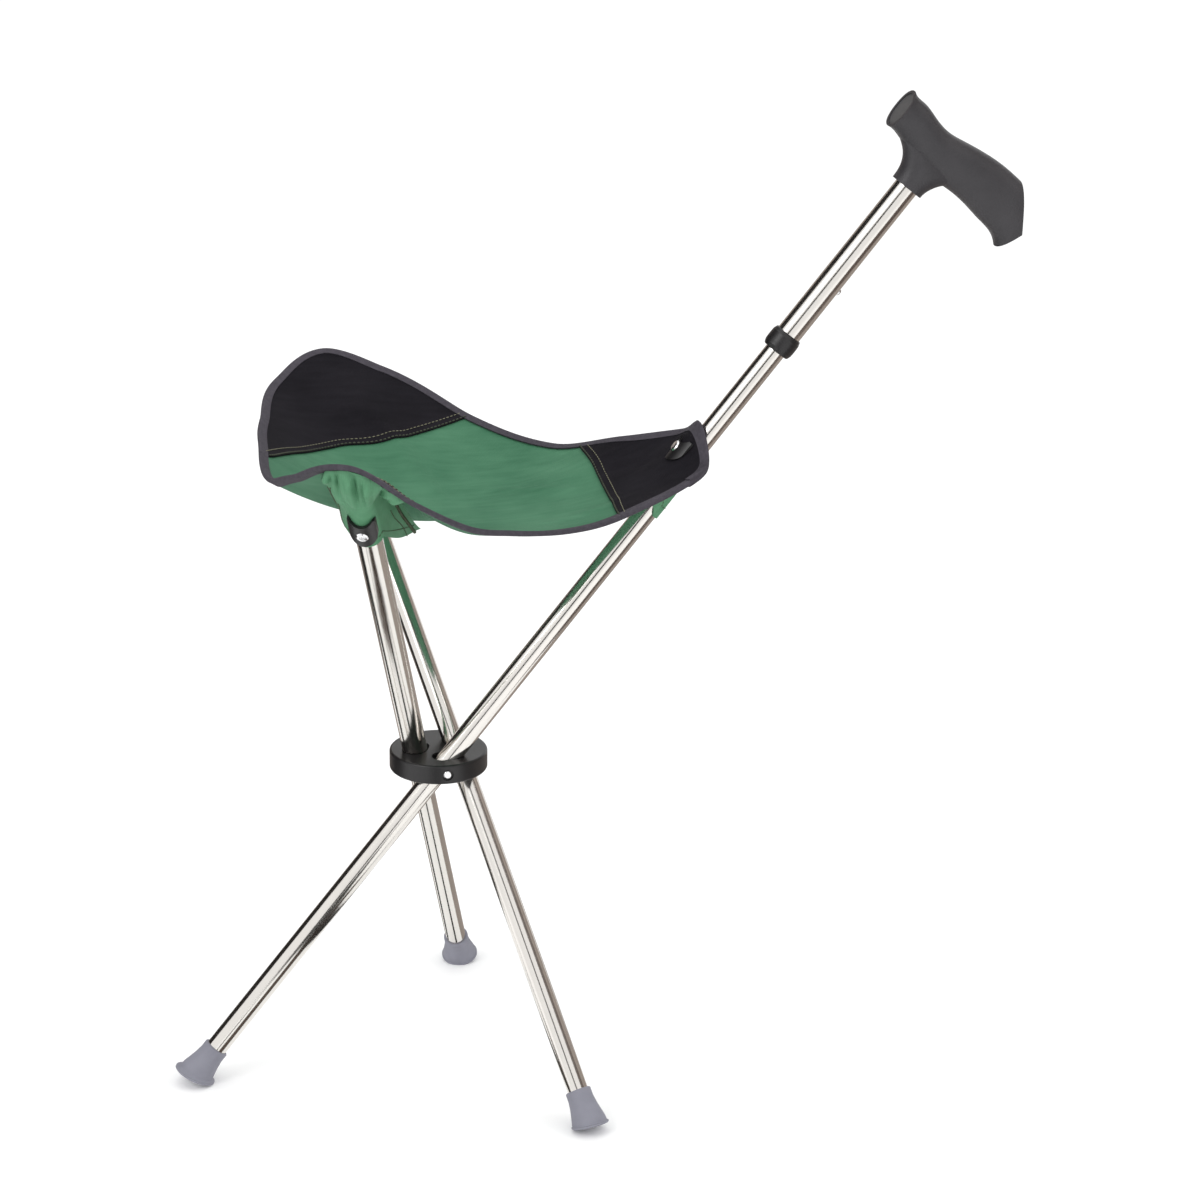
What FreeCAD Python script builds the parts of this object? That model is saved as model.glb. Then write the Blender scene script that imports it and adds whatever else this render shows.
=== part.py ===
import FreeCAD
import Part
import math
import os
from bisect import bisect_right

# Walking stick seat: three steel tubes cross in a slotted plastic hub and carry
# a three-cornered cloth seat. One tube runs on as a cane with a sliding handle.
# Millimetres, Z up, floor at Z 0, the stick leans towards +X in the plane Y 0.
# The origin is the middle of the worn flat under the stick's rubber foot.

# Whole object
HUB_HEIGHT = 245.0
PIN_RADIUS = 17.0
SLIDE_GAP = 0.08
FIT_GAP = 0.3
# Cutting tools run past what they cut, and blocks reach past the whole object
CUT_PAST = 1.0
CUT_ROOM = 100.0
BEYOND = 900.0

# Tubes
TUBE_R = 8.0
TUBE_WALL = 1.0
WIDE_R = 9.5
WIDE_WALL = 1.2
STICK_TOP = 478.0
LEG_A_TOP = 330.0
LEG_B_TOP = 310.0
STICK_TILT = 39.0
LEG_A_TILT = 34.0
LEG_B_TILT = 36.5
STICK_TURN = 0.0
LEG_B_TURN = 112.5
LEG_A_TURN = 247.5

# Hub
HUB_R = 37.0
HUB_T = 15.0
HUB_EDGE = 1.8
PIN_R = 2.5
PIN_INNER = 4.0
PIN_HEAD_R = 3.2
PIN_HEAD_T = 1.3
PIN_POCKET_R = 4.4
PIN_POCKET_DEPTH = 1.6

# Rubber feet
FOOT_CUP = 28.0
FOOT_BASE = 5.0
FOOT_WALL = 1.7
FOOT_FLARE = 5.0
FOOT_ROOT = 0.72
# Waist of the cup: height over the lip and share of the flare
FOOT_WAIST = [(2.0, 0.66), (7.0, 0.42), (13.0, 0.16), (19.0, 0.0)]
FOOT_EDGE = 0.8
LIP_T = 2.4
LIP_CROWN = 1.7
LIP_CHAMFER = (0.7, 0.5)
LIP_ROUND = 1.0
LIP_CANT = 13.0
STICK_LIP_R = 16.0
LEG_LIP_R = 14.2
SOLE_TRIM = 1.0

# Sliding handle
COLLAR_LOW = 399.5
COLLAR_LENGTH = 16.0
COLLAR_LIP = 3.0
COLLAR_END_R = 10.7
COLLAR_MID_R = 11.8
COLLAR_EDGE = 0.6
COLLAR_SWELL = 0.2
GRIP_LOW = 553.0
TUBE_IN_GRIP = 36.0
PLUG_LENGTH = 24.0
GUIDE_LENGTH = 10.0
GUIDE_RIM = 4.0
GUIDE_EDGE = 1.0
HOLE_PITCH = 20.0
HOLES_BELOW = 2
HOLES_ABOVE = 4
BUTTON_AT = 462.0
BUTTON_R = 2.8
BUTTON_OUT = 1.6
BUTTON_HEAD_R = 4.2
BUTTON_HEAD_T = 1.2
BUTTON_INSET = 0.6
BUTTON_HOLE_GAP = 0.1
SPRING_T = 0.6
SPRING_WIDTH = 7.0
SPRING_LENGTH = 44.0
SPRING_BACK = 2.1
SPRING_FOLD = 2.4
SPRING_SHORT = 8.0

# Grip: along the grip, lower edge, upper edge, half width, all from the mouth
GRIP_STATIONS = [
    (-42.3, 26.6, 58.3, 13.2),
    (-30.0, 25.4, 56.0, 13.0),
    (-16.0, 21.5, 52.8, 13.3),
    (0.0, 18.0, 50.6, 13.8),
    (14.0, 17.0, 52.5, 14.2),
    (30.0, 17.6, 55.0, 14.2),
    (46.0, 16.6, 56.4, 14.0),
    (60.0, 14.6, 56.2, 13.7),
    (72.0, 13.0, 55.2, 13.4),
    (82.0, 8.4, 53.6, 13.0),
    (94.0, 5.0, 51.0, 12.4),
]
# Neck of the grip: height, end towards the nose, end towards the tail, half width
NECK_STATIONS = [
    (0.0, -12.6, 12.6, 12.6),
    (6.0, -12.9, 13.4, 12.9),
    (12.0, -14.6, 16.4, 13.1),
    (17.0, -17.6, 20.6, 13.2),
    (21.5, -22.4, 27.0, 12.8),
    (26.0, -30.0, 37.0, 11.6),
]
GRIP_SQUARENESS = 2.3
GRIP_ROOM = 80.0
GRIP_INSIDE = (30.0, 35.0)
OVAL_POINTS = 20
TAIL_CUT = ((68.4, 55.0), (88.4, 29.0))
TAIL_CORNER_CUT = ((89.2, 20.0), (84.0, 6.0))
NOSE_CAP_INSET = 2.6
NOSE_CAP_DEPTH = 3.0
NOSE_CAP_SUNK = 0.7

# Caps, plates and rivets at the seat corners
CAP_DOME = 3.0
CAP_STEM = 12.0
# Shares of the cap's radius and of its dome
CAP_PROFILE = [(1.0, 0.0), (1.0, 0.35), (0.86, 0.75), (0.5, 1.0), (0.0, 1.0)]
PLATE_T = 2.4
LEG_PLATE_LENGTH = 26.0
REAR_PLATE_LENGTH = 21.0
PLATE_HALF_ANGLE = 47.0
PLATE_NOTCH = 5.0
PLATE_NOTCH_SHARE = 0.95
PLATE_ROOM = 9.0
LEG_PLATE_LOW = 283.0
REAR_PLATE_LOW = 287.0
REAR_PLATE_R = 12.4
RIVET_R = 2.0
RIVET_HEAD_R = 4.5
RIVET_HEAD_T = 1.5
RIVET_UP = 11.5
RIVET_EDGE = 0.3
RIVET_END = 1.5
RIVET_HOLE_GAP = 0.05
RIVET_ROOM = 20.0

# Cloth seat
CLOTH_T = 1.4
PATCH_T = 0.9
BINDING_T = 0.9
BINDING_WIDTH = 5.5
BINDING_LAP = 1.2
CLOTH_GAP = 0.3
POCKET_T = 1.2
SEAT_MIDDLE = (20.0, -5.0)
SEAT_LOW = 197.0
LEG_A_REACH = 27.3
LEG_B_REACH = 16.2
CORNER_GAP = 2.4
NOSE_AT = 321.0
NOSE_LIFT = 12.0
NOSE_FAR = (-4.5, 31.0, -14.8)
NOSE_NEAR = (-1.1, -27.0, -19.0)
NOSE_FULLNESS = 2.3
SHOULDER_FULLNESS = 1.4
CORNER_FULLNESS = 0.5
# Edges between corners: fraction, bow outwards, sag, fullness of the cloth inside
FAR_EDGE = [
    (0.149, 1.7, 16.1, 1.1),
    (0.344, 4.9, 35.3, 1.0),
    (0.567, 5.1, 27.5, 1.0),
    (0.815, 6.6, 3.6, 0.75),
]
FRONT_EDGE = [
    (0.1, 34.0, 21.3, 0.6),
    (0.294, 44.4, 28.0, 0.9),
    (0.5, 50.3, 24.5, 1.0),
    (0.694, 49.3, 36.6, 1.0),
    (0.848, 36.5, 20.0, 0.7),
]
NEAR_EDGE = [
    (0.154, 3.1, 25.4, 0.65),
    (0.313, 2.8, 46.3, 0.9),
    (0.429, 4.8, 50.0, 1.0),
    (0.601, 4.0, 50.2, 1.0),
    (0.779, -0.7, 39.9, 1.1),
]
# Seams in plan from the hub, each drawn past the cloth's edge at both ends
PATCH_B_SEAM = [
    (-146.0, -12.0), (-124.0, -6.0), (-94.0, 50.0), (-58.0, 86.0),
    (-20.0, 92.0), (8.0, 104.0), (66.0, 127.0),
]
PATCH_A_SEAM = [
    (-172.0, -108.0), (-149.0, -115.0), (-91.0, -136.0), (-39.0, -167.0), (-22.0, -184.0),
]
PATCH_REAR_SEAM = [
    (119.0, 108.0), (121.0, 57.0), (123.5, 12.0),
    (122.5, -30.0), (120.0, -64.0), (117.0, -112.0),
]
POCKET_LOW = 281.0
POCKET_LENGTH = 130.0
POCKET_TAIL = (-30.0, -34.0)
POCKET_TAIL_ROUND = 2.5
POCKET_HEM_RISE = 4.0
POCKET_ROOM = 80.0
POCKET_UNDER = 5.0
POCKET_INSET = 1.0
SLEEVE_LOW = 262.0
SLEEVE_HIGH = 306.0
SLEEVE_SPREAD = 17.0
SLEEVE_DEPTH = 27.2
REAR_PLATE_UNDER = 60.0
LEG_SLEEVE_START = 4.5

GRID_STEP = 10.0
GRID_MARGIN = 12.0
OUTLINE_POINTS = 72


def vec(x, y, z):
    return FreeCAD.Vector(x, y, z)


def cyl(radius, low, high):
    return Part.makeCylinder(radius, high - low, vec(0, 0, low))


def ring(outer, inner, low, high):
    return cyl(outer, low, high).cut(cyl(inner, low - CUT_PAST, high + CUT_PAST))


def across(radius, near, far, height):
    """A round bar along the local +Y direction at a height on the tube."""
    return Part.makeCylinder(radius, far - near, vec(0, near, height), vec(0, 1, 0))


def turned(profile):
    """A solid of revolution about Z from (radius, height) corners."""
    wire = Part.makePolygon([vec(r, 0, z) for r, z in profile + profile[:1]])
    return Part.Face(wire).revolve(vec(0, 0, 0), vec(0, 0, 1), 360)


class Leg:
    """One crossing tube: its own frame has X along the pin and Z up the tube."""

    def __init__(self, turn, tilt):
        self.turn = math.radians(turn)
        self.tilt = math.radians(tilt)
        out = self.turn - math.pi / 2
        self.pin = vec(math.cos(out), math.sin(out), 0)
        self.way = vec(math.cos(self.turn), math.sin(self.turn), 0)
        self.along = self.way * math.sin(self.tilt) + vec(0, 0, math.cos(self.tilt))
        self.side = self.along.cross(self.pin)
        self.pivot = HUB + self.pin * PIN_RADIUS

    def place(self, shape):
        x, y, z, p = self.pin, self.side, self.along, self.pivot
        matrix = FreeCAD.Matrix(
            x.x, y.x, z.x, p.x, x.y, y.y, z.y, p.y, x.z, y.z, z.z, p.z, 0, 0, 0, 1
        )
        out = shape.copy()
        out.Placement = FreeCAD.Placement(matrix).multiply(out.Placement)
        return out

    def at(self, height, side=0.0):
        return self.pivot + self.along * height + self.side * side


def sole_distance(tilt, lip_r):
    """From the pivot down the tube to where the canted sole meets the floor."""
    slope = math.radians(tilt - LIP_CANT)
    return (HUB_HEIGHT - lip_r * math.sin(slope) + SOLE_TRIM) / math.cos(math.radians(tilt))


STICK_SOLE = sole_distance(STICK_TILT, STICK_LIP_R)
LEG_A_SOLE = sole_distance(LEG_A_TILT, LEG_LIP_R)
LEG_B_SOLE = sole_distance(LEG_B_TILT, LEG_LIP_R)
SLOPE = math.radians(STICK_TILT - LIP_CANT)
FLAT_NEAR = (STICK_LIP_R - SOLE_TRIM / math.sin(SLOPE)) * math.cos(SLOPE)
FLAT_FAR = STICK_LIP_R * math.cos(SLOPE) + SOLE_TRIM * math.tan(SLOPE)
HUB_X = STICK_SOLE * math.sin(math.radians(STICK_TILT)) - (FLAT_NEAR + FLAT_FAR) / 2
HUB = vec(HUB_X, PIN_RADIUS, HUB_HEIGHT)

STICK = Leg(STICK_TURN, STICK_TILT)
LEG_A = Leg(LEG_A_TURN, LEG_A_TILT)
LEG_B = Leg(LEG_B_TURN, LEG_B_TILT)


# Hub: a round block with one slot for each tube, every slot the space that its
# tube sweeps between folded and open, so the tube comes to rest on its end wall.


def swept(radius, tilt, low, high):
    """Room for half a tube that swings from upright to its tilt."""
    sign = 1 if high > 0 else -1
    bar = Part.makeCylinder(radius, abs(high - low), vec(0, 0, 0), vec(0, 0, sign))
    end = bar.copy()
    end.rotate(vec(0, 0, 0), vec(1, 0, 0), -tilt)
    reach = sign * abs(high - low)
    lean = math.radians(tilt)
    wedge = Part.makePolygon([
        vec(-radius, 0, 0),
        vec(-radius, 0, reach),
        vec(-radius, reach * math.sin(lean), reach * math.cos(lean)),
        vec(-radius, 0, 0),
    ])
    return bar.fuse([end, Part.Face(wedge).extrude(vec(2 * radius, 0, 0))])


def hub_slot(leg, upper_r, lower_r):
    reach = 2 * HUB_T
    tilt = math.degrees(leg.tilt)
    room = swept(upper_r, tilt, 0, reach).fuse(swept(lower_r, tilt, -reach, 0))
    upright = Leg(math.degrees(leg.turn), 0)
    return upright.place(room)


def pin_bore(leg):
    upright = Leg(math.degrees(leg.turn), 0)
    rim = HUB_R - PIN_RADIUS
    bore = Part.makeCylinder(
        PIN_R, HUB_R - PIN_INNER, vec(PIN_INNER - PIN_RADIUS, 0, 0), vec(1, 0, 0)
    )
    sink = Part.makeCylinder(
        PIN_POCKET_R, HUB_R, vec(rim - PIN_POCKET_DEPTH, 0, 0), vec(1, 0, 0)
    )
    return upright.place(bore.fuse(sink))


def pivot_pin(leg):
    upright = Leg(math.degrees(leg.turn), 0)
    seat = HUB_R - PIN_RADIUS - PIN_POCKET_DEPTH
    head = Part.makeCylinder(PIN_HEAD_R, PIN_HEAD_T, vec(seat, 0, 0), vec(1, 0, 0))
    rims = [e for e in head.Edges if abs(e.CenterOfMass.x - seat - PIN_HEAD_T) < 1e-6]
    head = head.makeFillet(PIN_HEAD_T * 0.8, rims)
    shank = Part.makeCylinder(
        PIN_R, seat + PIN_RADIUS - PIN_INNER, vec(PIN_INNER - PIN_RADIUS, 0, 0), vec(1, 0, 0)
    )
    return upright.place(head.fuse(shank))


def make_hub():
    block = Part.makeCylinder(HUB_R, HUB_T, HUB - vec(0, 0, HUB_T / 2))
    rims = [e for e in block.Edges if e.Length > HUB_R * 3]
    block = block.makeFillet(HUB_EDGE, rims)
    room = TUBE_R + FIT_GAP
    cuts = [hub_slot(STICK, room, room), hub_slot(LEG_B, room, room)]
    cuts.append(hub_slot(LEG_A, WIDE_R + FIT_GAP, room))
    cuts += [pin_bore(leg) for leg in (STICK, LEG_A, LEG_B)]
    return block.cut(cuts)


# Tubes: each lower tube runs through the hub on its pin and ends in its foot.


def tube(low, high):
    body = ring(TUBE_R, TUBE_R - TUBE_WALL, low, high)
    pin = Part.makeCylinder(PIN_R + SLIDE_GAP, 4 * TUBE_R, vec(-2 * TUBE_R, 0, 0), vec(1, 0, 0))
    return body.cut(pin)


def foot(sole, lip_r):
    """A rubber cup on the tube's end with a thin flared lip canted to the floor."""
    base = -sole + LIP_T
    mouth = base + FOOT_CUP - LIP_T
    outer = TUBE_R + FOOT_WALL
    waist = [(outer + FOOT_FLARE * share, base + height) for height, share in FOOT_WAIST]
    cup = turned([
        (0, base - LIP_T / 2),
        (outer + FOOT_FLARE * FOOT_ROOT, base - LIP_T / 2),
        *waist,
        (outer, mouth - FOOT_EDGE),
        (outer - FOOT_EDGE, mouth),
        (TUBE_R, mouth),
        (TUBE_R, base + FOOT_BASE),
        (0, base + FOOT_BASE),
    ])
    lip = turned([
        (0, 0),
        (lip_r - LIP_CHAMFER[0], 0),
        (lip_r, LIP_CHAMFER[1]),
        (lip_r, LIP_T * 0.6),
        (lip_r - LIP_ROUND, LIP_T * 0.85),
        (outer + FOOT_FLARE * 0.6, LIP_T * LIP_CROWN),
        (0, LIP_T * LIP_CROWN),
    ])
    lip.rotate(vec(0, 0, 0), vec(1, 0, 0), LIP_CANT)
    lip.translate(vec(0, 0, -sole))
    under = Part.makeBox(2 * CUT_ROOM, 2 * CUT_ROOM, CUT_ROOM, vec(-CUT_ROOM, -CUT_ROOM, -CUT_ROOM))
    under.rotate(vec(0, 0, 0), vec(1, 0, 0), LIP_CANT)
    under.translate(vec(0, 0, -sole))
    return cup.cut(under).fuse(lip).cut(cyl(TUBE_R, base + FOOT_BASE, mouth + CUT_PAST))


def on_floor(shape):
    return shape.cut(Part.makeBox(2 * BEYOND, 2 * BEYOND, CUT_ROOM, vec(-BEYOND, -BEYOND, -CUT_ROOM)))


def tube_cap(radius, top, stem_r):
    """A domed plug: its head covers the tube's end and its stem fills the bore."""
    dome = [(radius * across, top + CAP_DOME * up) for across, up in CAP_PROFILE]
    return turned([(0, top - CAP_STEM), (stem_r, top - CAP_STEM), (stem_r, top)] + dome)


# Sliding handle on the stick: an outer tube with a row of holes, a collar that
# guides it, and inside the stick a leaf spring that pushes the button out.


def make_handle_tube():
    low = COLLAR_LOW + COLLAR_LIP
    body = ring(WIDE_R, WIDE_R - WIDE_WALL, low, GRIP_LOW + TUBE_IN_GRIP)
    holes = [
        across(BUTTON_R + FIT_GAP, 0, 2 * WIDE_R, BUTTON_AT + k * HOLE_PITCH)
        for k in range(-HOLES_BELOW, HOLES_ABOVE + 1)
    ]
    return body.cut(holes)


def make_collar():
    low, high = COLLAR_LOW, COLLAR_LOW + COLLAR_LENGTH
    step = COLLAR_LENGTH / 5
    return turned([
        (TUBE_R + SLIDE_GAP, low),
        (COLLAR_END_R - COLLAR_EDGE, low),
        (COLLAR_END_R, low + COLLAR_EDGE),
        (COLLAR_MID_R - COLLAR_SWELL, low + step),
        (COLLAR_MID_R, low + 2 * step),
        (COLLAR_MID_R, high - 2 * step),
        (COLLAR_MID_R - COLLAR_SWELL, high - step),
        (COLLAR_END_R, high - COLLAR_EDGE),
        (COLLAR_END_R - COLLAR_EDGE, high),
        (WIDE_R, high),
        (WIDE_R, low + COLLAR_LIP),
        (TUBE_R + SLIDE_GAP, low + COLLAR_LIP),
    ])


def make_guide():
    """A plastic plug in the stick's top whose rim runs in the outer tube."""
    rim = WIDE_R - WIDE_WALL - SLIDE_GAP
    return turned([
        (0, STICK_TOP - GUIDE_LENGTH),
        (TUBE_R - TUBE_WALL, STICK_TOP - GUIDE_LENGTH),
        (TUBE_R - TUBE_WALL, STICK_TOP),
        (rim, STICK_TOP),
        (rim, STICK_TOP + GUIDE_RIM - GUIDE_EDGE),
        (rim - GUIDE_EDGE, STICK_TOP + GUIDE_RIM),
        (0, STICK_TOP + GUIDE_RIM),
    ])


def make_button():
    """The snap button: a round nose with a flange inside the tube's wall."""
    inside = TUBE_R - TUBE_WALL - BUTTON_INSET
    nose = across(BUTTON_R, inside, WIDE_R + BUTTON_OUT, BUTTON_AT)
    tip = [e for e in nose.Edges if abs(e.CenterOfMass.y - WIDE_R - BUTTON_OUT) < 1e-6]
    nose = nose.makeFillet(BUTTON_OUT * 0.8, tip)
    flange = across(BUTTON_HEAD_R, inside - BUTTON_HEAD_T, inside, BUTTON_AT)
    return nose.fuse(flange).common(cyl(TUBE_R - TUBE_WALL - FIT_GAP, 0, BEYOND).fuse(nose))


def make_spring():
    """A folded leaf: one arm under the button, the other on the far wall."""
    top = BUTTON_AT + BUTTON_HEAD_R
    low = top - SPRING_LENGTH
    arm = TUBE_R - TUBE_WALL - BUTTON_INSET - BUTTON_HEAD_T - FIT_GAP
    back = -(TUBE_R - TUBE_WALL) + SPRING_BACK
    half = SPRING_WIDTH / 2
    line = [(arm, top), (back + SPRING_FOLD, low), (back, low), (back, top - SPRING_SHORT)]
    outer = [vec(-half, y, z) for y, z in line]
    inner = [
        vec(-half, back + SPRING_T, top - SPRING_SHORT),
        vec(-half, back + SPRING_T, low + SPRING_T),
        vec(-half, back + SPRING_FOLD - SPRING_T, low + SPRING_T),
        vec(-half, arm - SPRING_T, top),
    ]
    face = Part.Face(Part.makePolygon(outer + inner + outer[:1]))
    return face.extrude(vec(SPRING_WIDTH, 0, 0))


def oval(half_x, low, high, at, upright):
    """A closed rounded outline across the grip or across its neck."""
    middle, half = (low + high) / 2, (high - low) / 2
    points = []
    for i in range(OVAL_POINTS):
        a = 2 * math.pi * (i + 0.5) / OVAL_POINTS
        c, s = math.cos(a), math.sin(a)
        p = 2 / GRIP_SQUARENESS
        x = half_x * math.copysign(abs(c) ** p, c)
        w = middle + half * math.copysign(abs(s) ** p, s)
        points.append(vec(x, at, w) if upright else vec(x, w, at))
    curve = Part.BSplineCurve()
    curve.interpolate(points, PeriodicFlag=True)
    return Part.Wire(curve.toShape())


def half_space(first, second, keep):
    """Everything beyond the line through two (Y, Z) points, away from keep."""
    a, b = vec(0, *first), vec(0, *second)
    run = (b - a).normalize()
    out = run.cross(vec(1, 0, 0))
    if (vec(0, *keep) - a).dot(out) > 0:
        out = out * -1
    a, b = a - run * GRIP_ROOM, b + run * GRIP_ROOM
    line = [a, b, b + out * GRIP_ROOM, a + out * GRIP_ROOM, a]
    face = Part.Face(Part.makePolygon([p - vec(GRIP_ROOM / 2, 0, 0) for p in line]))
    return face.extrude(vec(GRIP_ROOM, 0, 0))


def grip_body():
    bar = Part.makeLoft([oval(w, low, high, y, True) for y, low, high, w in GRIP_STATIONS], True)
    neck = Part.makeLoft([oval(w, a, b, z, False) for z, a, b, w in NECK_STATIONS], True)
    cuts = [half_space(*line, GRIP_INSIDE) for line in (TAIL_CUT, TAIL_CORNER_CUT)]
    return bar.fuse(neck).cut(cuts)


def nose_cap(inset, depth):
    y, low, high, w = GRIP_STATIONS[0]
    outline = oval(w - inset, low + inset, high - inset, y - CUT_PAST, True)
    return Part.Face(outline).extrude(vec(0, depth + CUT_PAST, 0))


def make_grip():
    body = grip_body().cut(nose_cap(NOSE_CAP_INSET, NOSE_CAP_DEPTH))
    body.translate(vec(0, 0, GRIP_LOW))
    return body.cut(cyl(WIDE_R, GRIP_LOW - CUT_PAST, GRIP_LOW + TUBE_IN_GRIP))


def make_nose_cap():
    front = GRIP_STATIONS[0][0] + NOSE_CAP_SUNK
    keep = Part.makeBox(GRIP_ROOM, GRIP_ROOM, GRIP_ROOM, vec(-GRIP_ROOM / 2, front, 0))
    cap = nose_cap(NOSE_CAP_INSET, NOSE_CAP_DEPTH).common(keep)
    cap.translate(vec(0, 0, GRIP_LOW))
    return cap


def make_plug():
    bore = WIDE_R - WIDE_WALL
    top = GRIP_LOW + TUBE_IN_GRIP
    return cyl(bore, top - PLUG_LENGTH, top)


# Cloth seat: its rim is a smooth closed curve over the tube ends, its height
# falls from the rim to the sagging middle, and every layer follows that surface.


def edge_points(start, end, rows):
    run = vec(end.x - start.x, end.y - start.y, 0)
    out = run.cross(vec(0, 0, 1)).normalize()
    points = []
    for f, bow, sag, fullness in rows:
        p = start + (end - start) * f + out * bow - vec(0, 0, sag)
        points.append((p, fullness))
    return points


def corner(leg, top, radius, reach):
    """Rim point beyond a tube end, so high that the cloth clears the cap."""
    end = leg.at(top)
    rise = radius * math.sin(leg.tilt) + CAP_DOME + CLOTH_T + CORNER_GAP
    rim = vec(end.x, end.y, 0) + leg.way * reach
    near = math.hypot(end.x - MIDDLE.x, end.y - MIDDLE.y)
    far = math.hypot(rim.x - MIDDLE.x, rim.y - MIDDLE.y)
    share = (near / far) ** 2
    height = MIDDLE.z + (end.z + rise - MIDDLE.z) * (share + CORNER_FULLNESS * (1 - share)) / share
    return vec(rim.x, rim.y, height)


MIDDLE = HUB + vec(*SEAT_MIDDLE, SEAT_LOW)
CORNER_A = corner(LEG_A, LEG_A_TOP, WIDE_R, LEG_A_REACH)
CORNER_B = corner(LEG_B, LEG_B_TOP, TUBE_R, LEG_B_REACH)
NOSE = STICK.at(NOSE_AT, -NOSE_LIFT)
FAR_SHOULDER = NOSE + vec(*NOSE_FAR)
NEAR_SHOULDER = NOSE + vec(*NOSE_NEAR)
RIM = [(NOSE, NOSE_FULLNESS), (FAR_SHOULDER, SHOULDER_FULLNESS)]
RIM += edge_points(FAR_SHOULDER, CORNER_B, FAR_EDGE) + [(CORNER_B, CORNER_FULLNESS)]
RIM += edge_points(CORNER_B, CORNER_A, FRONT_EDGE) + [(CORNER_A, CORNER_FULLNESS)]
RIM += edge_points(CORNER_A, NEAR_SHOULDER, NEAR_EDGE) + [(NEAR_SHOULDER, SHOULDER_FULLNESS)]


def rim_rows():
    rows = []
    for p, fullness in RIM:
        away = p - MIDDLE
        angle = math.atan2(away.y, away.x) % (2 * math.pi)
        rows.append((angle, math.hypot(away.x, away.y), p.z, fullness))
    return sorted(rows)


ROWS = rim_rows()


def rim_at(angle):
    """Radius, height and fullness of the rim in a direction from the middle."""
    turn = 2 * math.pi
    count = len(ROWS)
    angle %= turn
    i = bisect_right([row[0] for row in ROWS], angle) - 1
    near = []
    for k in range(i - 1, i + 3):
        row = ROWS[k % count]
        near.append((row[0] + turn * (k // count),) + row[1:])
    (a0, *v0), (a1, *v1), (a2, *v2), (a3, *v3) = near
    span = a2 - a1
    t = (angle - a1) / span
    if t < 0:
        t += turn / span
    out = []
    for p0, p1, p2, p3 in zip(v0, v1, v2, v3):
        m1 = (p2 - p0) / (a2 - a0) * span
        m2 = (p3 - p1) / (a3 - a1) * span
        out.append(
            (2 * t**3 - 3 * t**2 + 1) * p1
            + (t**3 - 2 * t**2 + t) * m1
            + (3 * t**2 - 2 * t**3) * p2
            + (t**3 - t**2) * m2
        )
    return out


def seat_height(x, y):
    dx, dy = x - MIDDLE.x, y - MIDDLE.y
    radius, height, fullness = rim_at(math.atan2(dy, dx))
    part = (dx * dx + dy * dy) / radius**2
    if part < 1:
        share = part / (part + fullness * (1 - part))
    else:
        share = 1 + fullness * (part - 1)
    return MIDDLE.z + (height - MIDDLE.z) * share


def seat_face():
    low_x = min(p.x for p, _ in RIM) - GRID_MARGIN
    high_x = max(p.x for p, _ in RIM) + GRID_MARGIN
    low_y = min(p.y for p, _ in RIM) - GRID_MARGIN
    high_y = max(p.y for p, _ in RIM) + GRID_MARGIN
    count_x = round((high_x - low_x) / GRID_STEP)
    count_y = round((high_y - low_y) / GRID_STEP)
    grid = []
    for i in range(count_x + 1):
        x = low_x + (high_x - low_x) * i / count_x
        column = []
        for j in range(count_y + 1):
            y = low_y + (high_y - low_y) * j / count_y
            column.append(vec(x, y, seat_height(x, y)))
        grid.append(column)
    surface = Part.BSplineSurface()
    surface.interpolate(grid)
    return surface.toShape()


FACE = seat_face()


def layer(low, high):
    """A layer of cloth between two heights over the seat surface."""
    sheet = FACE.copy()
    sheet.translate(vec(0, 0, low))
    return sheet.extrude(vec(0, 0, high - low))


def rim_prism(shift):
    """The seat's outline drawn in or out by a distance, as an upright prism."""
    ring_points = []
    for i in range(OUTLINE_POINTS):
        a = 2 * math.pi * i / OUTLINE_POINTS
        radius = rim_at(a)[0]
        ring_points.append(vec(MIDDLE.x + radius * math.cos(a), MIDDLE.y + radius * math.sin(a), 0))
    moved = []
    for i, p in enumerate(ring_points):
        run = ring_points[(i + 1) % OUTLINE_POINTS] - ring_points[i - 1]
        moved.append(p + run.cross(vec(0, 0, 1)).normalize() * shift)
    curve = Part.BSplineCurve()
    curve.interpolate(moved, PeriodicFlag=True)
    return Part.Face(Part.Wire(curve.toShape())).extrude(vec(0, 0, BEYOND))


def seam_side(seam, keep):
    """An upright block on the corner side of a seam."""
    line = [vec(HUB.x + x, HUB.y + y, 0) for x, y in seam]
    run = line[-1] - line[0]
    out = run.cross(vec(0, 0, 1)).normalize() * BEYOND
    if (keep - line[0]).dot(out) < 0:
        out = out * -1
    curve = Part.BSplineCurve()
    curve.interpolate(line)
    side = Part.makePolygon([line[-1], line[-1] + out, line[0] + out, line[0]])
    return Part.Face(Part.Wire([curve.toShape()] + side.Edges)).extrude(vec(0, 0, BEYOND))


def rivet(radius, height, side):
    """A domed rivet through a plate at a height, on the +Y or -Y side."""
    head = turned([
        (0, 0),
        (RIVET_HEAD_R, 0),
        (RIVET_HEAD_R, RIVET_EDGE),
        (RIVET_HEAD_R * 0.8, RIVET_HEAD_T * 0.75),
        (RIVET_HEAD_R * 0.42, RIVET_HEAD_T),
        (0, RIVET_HEAD_T),
    ])
    shank = cyl(RIVET_R, TUBE_R - TUBE_WALL - RIVET_END - radius, 0)
    body = head.fuse(shank)
    body.rotate(vec(0, 0, 0), vec(1, 0, 0), -90 * side)
    body.translate(vec(0, side * radius, height))
    return body


def rivet_room(radius, height, side):
    span = sorted((0, side * (radius + RIVET_ROOM)))
    return across(RIVET_R + RIVET_HOLE_GAP, span[0], span[1], height)


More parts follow.
